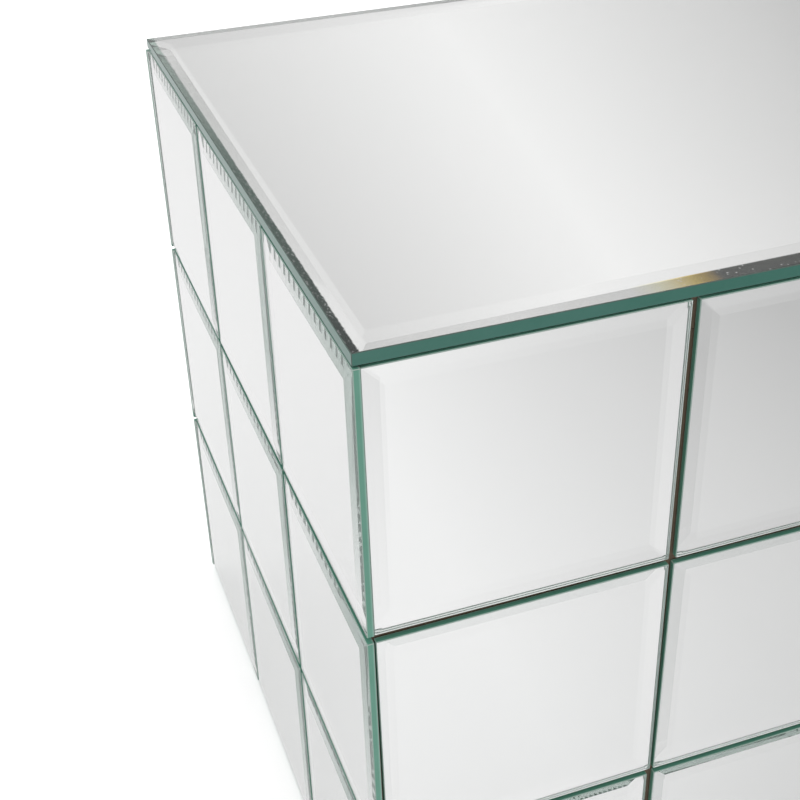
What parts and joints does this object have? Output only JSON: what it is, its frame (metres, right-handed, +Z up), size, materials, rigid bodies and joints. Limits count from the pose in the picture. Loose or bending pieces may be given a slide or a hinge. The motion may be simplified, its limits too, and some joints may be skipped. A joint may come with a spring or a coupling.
{
  "type": "mirrored cube table",
  "caption": "Mirror-clad cube: a board carcass faced with bevelled mirror tiles in a grid on each side, and a bevelled mirror pane on top, on low glides.",
  "frame": {"origin": "middle of the footprint, on the floor under the glides", "axes": "+Z up through the top pane; +X to the right along the front, which is the longer side; the front faces -Y"},
  "size_m": [0.4, 0.384, 0.384],
  "materials": {
    "pane_mirror": "polished silvered glass with a ground bevel and green edges",
    "tile_mirror": "polished silvered glass with a ground bevel and green edges",
    "carcass_board": "raw fibreboard",
    "batten_wood": "planed softwood",
    "glide_plastic": "moulded",
    "screw_steel": "zinc plated"
  },
  "bodies": {
    "root": {"top_pane": "pane_mirror", "front_tile_bottom_left": "tile_mirror", "front_tile_bottom_centre": "tile_mirror", "front_tile_bottom_right": "tile_mirror", "front_tile_middle_left": "tile_mirror", "front_tile_middle_centre": "tile_mirror", "front_tile_middle_right": "tile_mirror", "front_tile_top_left": "tile_mirror", "front_tile_top_centre": "tile_mirror", "front_tile_top_right": "tile_mirror", "right_tile_bottom_left": "tile_mirror", "right_tile_bottom_centre": "tile_mirror", "right_tile_bottom_right": "tile_mirror", "right_tile_middle_left": "tile_mirror", "right_tile_middle_centre": "tile_mirror", "right_tile_middle_right": "tile_mirror", "right_tile_top_left": "tile_mirror", "right_tile_top_centre": "tile_mirror", "right_tile_top_right": "tile_mirror", "back_tile_bottom_left": "tile_mirror", "back_tile_bottom_centre": "tile_mirror", "back_tile_bottom_right": "tile_mirror", "back_tile_middle_left": "tile_mirror", "back_tile_middle_centre": "tile_mirror", "back_tile_middle_right": "tile_mirror", "back_tile_top_left": "tile_mirror", "back_tile_top_centre": "tile_mirror", "back_tile_top_right": "tile_mirror", "left_tile_bottom_left": "tile_mirror", "left_tile_bottom_centre": "tile_mirror", "left_tile_bottom_right": "tile_mirror", "left_tile_middle_left": "tile_mirror", "left_tile_middle_centre": "tile_mirror", "left_tile_middle_right": "tile_mirror", "left_tile_top_left": "tile_mirror", "left_tile_top_centre": "tile_mirror", "left_tile_top_right": "tile_mirror", "left_board": "carcass_board", "right_board": "carcass_board", "front_board": "carcass_board", "back_board": "carcass_board", "top_board": "carcass_board", "base_board": "carcass_board", "front_left_batten": "batten_wood", "front_right_batten": "batten_wood", "back_right_batten": "batten_wood", "back_left_batten": "batten_wood", "front_left_glide": "glide_plastic", "front_left_glide_screw": "screw_steel", "front_right_glide": "glide_plastic", "front_right_glide_screw": "screw_steel", "back_right_glide": "glide_plastic", "back_right_glide_screw": "screw_steel", "back_left_glide": "glide_plastic", "back_left_glide_screw": "screw_steel"}
  },
  "joints": []
}
